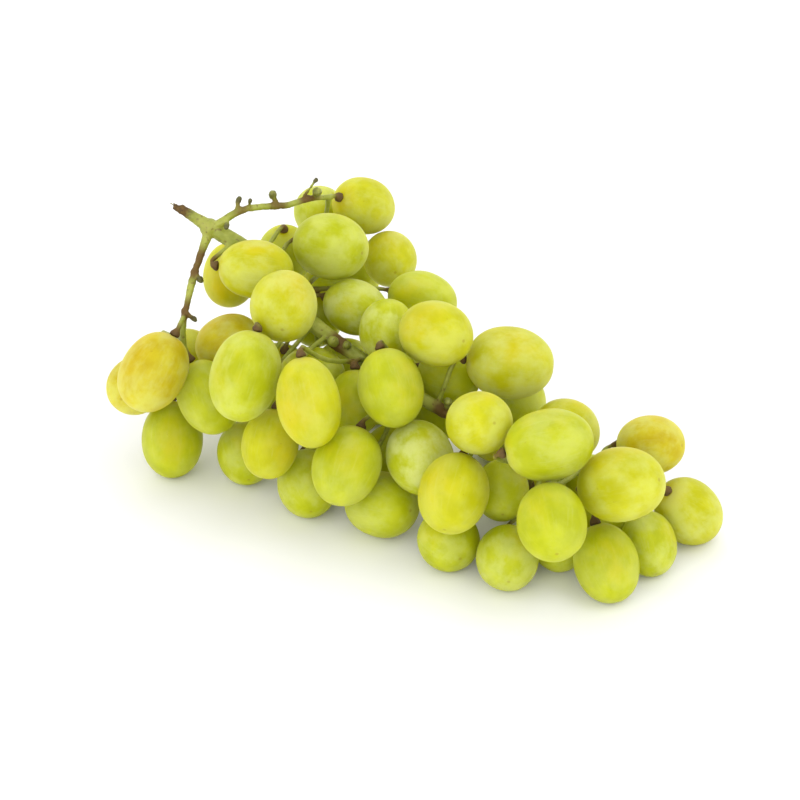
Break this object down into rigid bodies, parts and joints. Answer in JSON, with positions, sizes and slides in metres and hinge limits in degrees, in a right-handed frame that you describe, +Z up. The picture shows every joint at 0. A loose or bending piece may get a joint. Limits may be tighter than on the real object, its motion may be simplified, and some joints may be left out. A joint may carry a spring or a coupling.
{
  "type": "bunch of grapes",
  "caption": "Bunch of white table grapes lying on its side: oval berries on a branching stem with a cut end, for still lifes, fruit bowls and market displays.",
  "frame": {"origin": "on the surface that the bunch lies on, under the middle of its outline", "axes": "+X from the cut end of the stem towards the tip of the bunch, its longest extent; +Z up from the surface; +Y across the bunch, towards the side where the upper wing of the stem leans"},
  "size_m": [0.1828, 0.1104, 0.0807],
  "materials": {
    "grape_green": "translucent green skin with a whitish bloom",
    "grape_yellow": "translucent yellow-green skin with a whitish bloom",
    "grape_amber": "translucent yellow-green skin with an amber flush and a whitish bloom",
    "stem": "pale green, drying to brown at the knobs and the cut end"
  },
  "bodies": {
    "root": {"stem": "stem", "grape_crown_1": "grape_yellow", "grape_crown_2": "grape_green", "grape_crown_3": "grape_green", "grape_crown_4": "grape_yellow", "grape_crown_5": "grape_green", "grape_crown_6": "grape_yellow", "grape_crown_7": "grape_yellow", "grape_crown_8": "grape_green", "grape_wing_1": "grape_amber", "grape_wing_2": "grape_amber", "grape_wing_3": "grape_green", "grape_wing_4": "grape_green", "grape_wing_5": "grape_yellow", "grape_wing_6": "grape_amber", "grape_wing_7": "grape_green", "grape_wing_8": "grape_green", "grape_shoulder_1": "grape_yellow", "grape_shoulder_2": "grape_green", "grape_shoulder_3": "grape_green", "grape_shoulder_4": "grape_green", "grape_shoulder_5": "grape_green", "grape_shoulder_6": "grape_green", "grape_shoulder_7": "grape_green", "grape_shoulder_8": "grape_yellow", "grape_shoulder_9": "grape_green", "grape_shoulder_10": "grape_green", "grape_shoulder_11": "grape_yellow", "grape_shoulder_12": "grape_green", "grape_shoulder_13": "grape_green", "grape_shoulder_14": "grape_green", "grape_shoulder_15": "grape_green", "grape_middle_1": "grape_yellow", "grape_middle_2": "grape_green", "grape_middle_3": "grape_green", "grape_middle_4": "grape_green", "grape_middle_5": "grape_green", "grape_middle_6": "grape_green", "grape_middle_7": "grape_green", "grape_middle_8": "grape_green", "grape_middle_9": "grape_yellow", "grape_middle_10": "grape_yellow", "grape_middle_11": "grape_green", "grape_middle_12": "grape_yellow", "grape_lower_1": "grape_yellow", "grape_lower_2": "grape_green", "grape_lower_3": "grape_green", "grape_lower_4": "grape_green", "grape_lower_5": "grape_green", "grape_lower_6": "grape_yellow", "grape_lower_7": "grape_green", "grape_lower_8": "grape_green", "grape_lower_9": "grape_green", "grape_tail_1": "grape_yellow", "grape_tail_2": "grape_amber", "grape_tail_3": "grape_yellow", "grape_tail_4": "grape_green", "grape_tail_5": "grape_green", "grape_tail_6": "grape_green", "grape_tail_7": "grape_green"}
  },
  "joints": []
}
